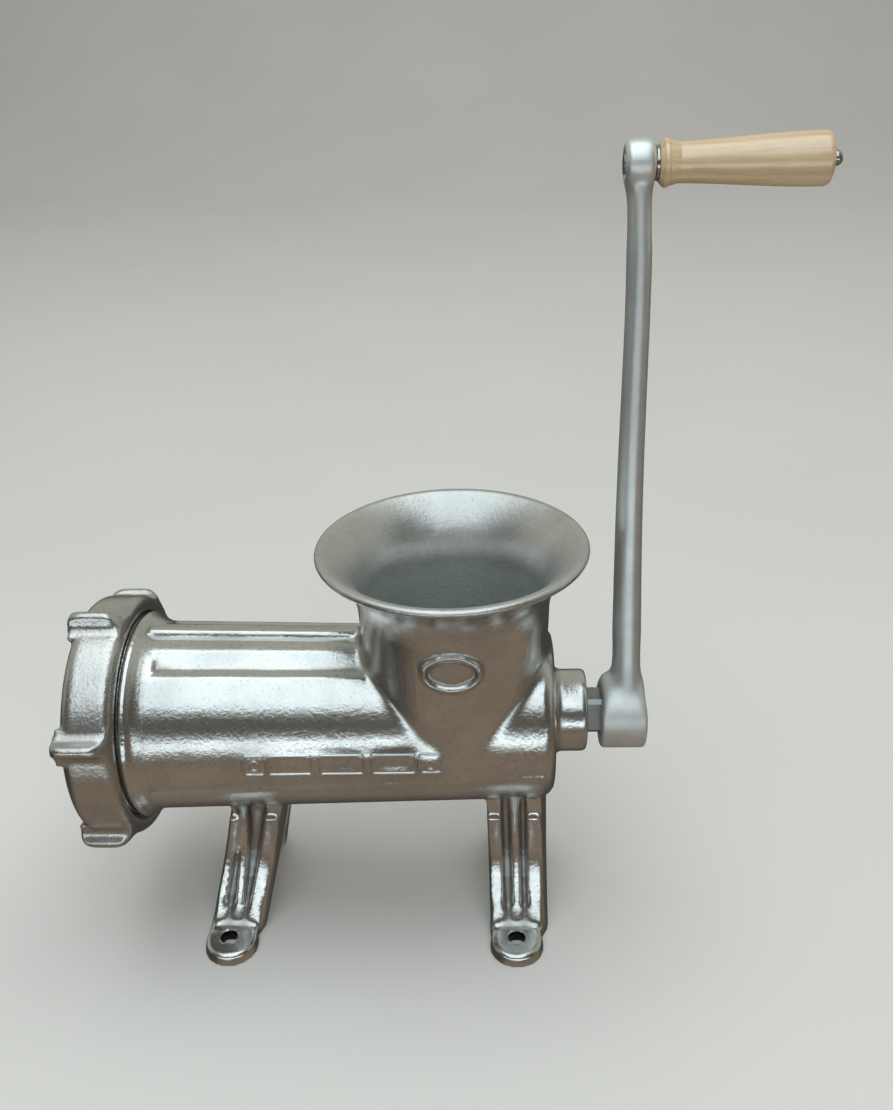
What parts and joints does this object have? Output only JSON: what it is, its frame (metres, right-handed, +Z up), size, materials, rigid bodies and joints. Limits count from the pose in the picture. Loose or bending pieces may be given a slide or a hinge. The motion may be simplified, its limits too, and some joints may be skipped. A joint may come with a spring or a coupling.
{
  "type": "hand crank meat grinder",
  "caption": "Bolt-down hand crank meat grinder: tinned cast barrel and hopper on four legs, screwed lug ring, feed screw, knife and perforated plate, leaning crank with a wooden grip.",
  "frame": {"origin": "centre of the four foot holes on the plane the feet rest on", "axes": "+Z up, +X along the feed screw from the outlet ring to the crank, +Y to the right of that, away from the side that carries the badge"},
  "size_m": [0.3892, 0.141, 0.4172],
  "materials": {
    "tinned_iron": "bright hot-tinned casting, fine grain",
    "tinned_ring": "bright hot-tinned casting, slightly duller than the body",
    "crank_metal": "satin cast light alloy, ground hub",
    "varnished_wood": "pale hardwood under clear varnish",
    "spindle_steel": "plain steel",
    "screw_iron": "tinned casting with turned journal and milled square",
    "machined_steel": "ground steel",
    "plate_steel": "face-ground steel",
    "bronze": "turned bronze",
    "fibre": "red-brown vulcanised fibre",
    "dark_steel": "black oxide"
  },
  "bodies": {
    "root": {"housing": "tinned_iron", "rear_bushing": "bronze", "thrust_washer": "fibre", "plate_key_pin": "machined_steel"},
    "rotor": {"feed_screw": "screw_iron", "knife_stud": "machined_steel", "cross_knife": "machined_steel", "crank_arm": "crank_metal", "crank_set_screw": "dark_steel", "handle_spindle": "spindle_steel", "inner_spindle_washer": "spindle_steel", "outer_spindle_washer": "spindle_steel"},
    "grip": {"handle_grip": "varnished_wood"},
    "plate": {"grinding_plate": "plate_steel"},
    "ring": {"ring_nut": "tinned_ring"}
  },
  "joints": [
    {"name": "crank_turn", "type": "hinge", "parent": "root", "child": "rotor", "pos_m": [0, 0, 0.125], "axis": [1, 0, 0], "continuous": true},
    {"name": "grip_spin", "type": "hinge", "parent": "rotor", "child": "grip", "pos_m": [0.19, 0.0458, 0.40468], "axis": [1, 0, 0], "continuous": true},
    {"name": "plate_slide", "type": "slide", "parent": "root", "child": "plate", "axis": [-1, 0, 0], "range_m": [0, 0.0205]},
    {"name": "ring_turn", "type": "hinge", "parent": "plate", "child": "ring", "pos_m": [-0.136, 0, 0.125], "axis": [-1, 0, 0], "range_deg": [0, 1800]}
  ],
  "couplings": [
    {"joint": "plate_slide", "follows": "ring_turn", "m_per_rad": 0.0006366}
  ]
}
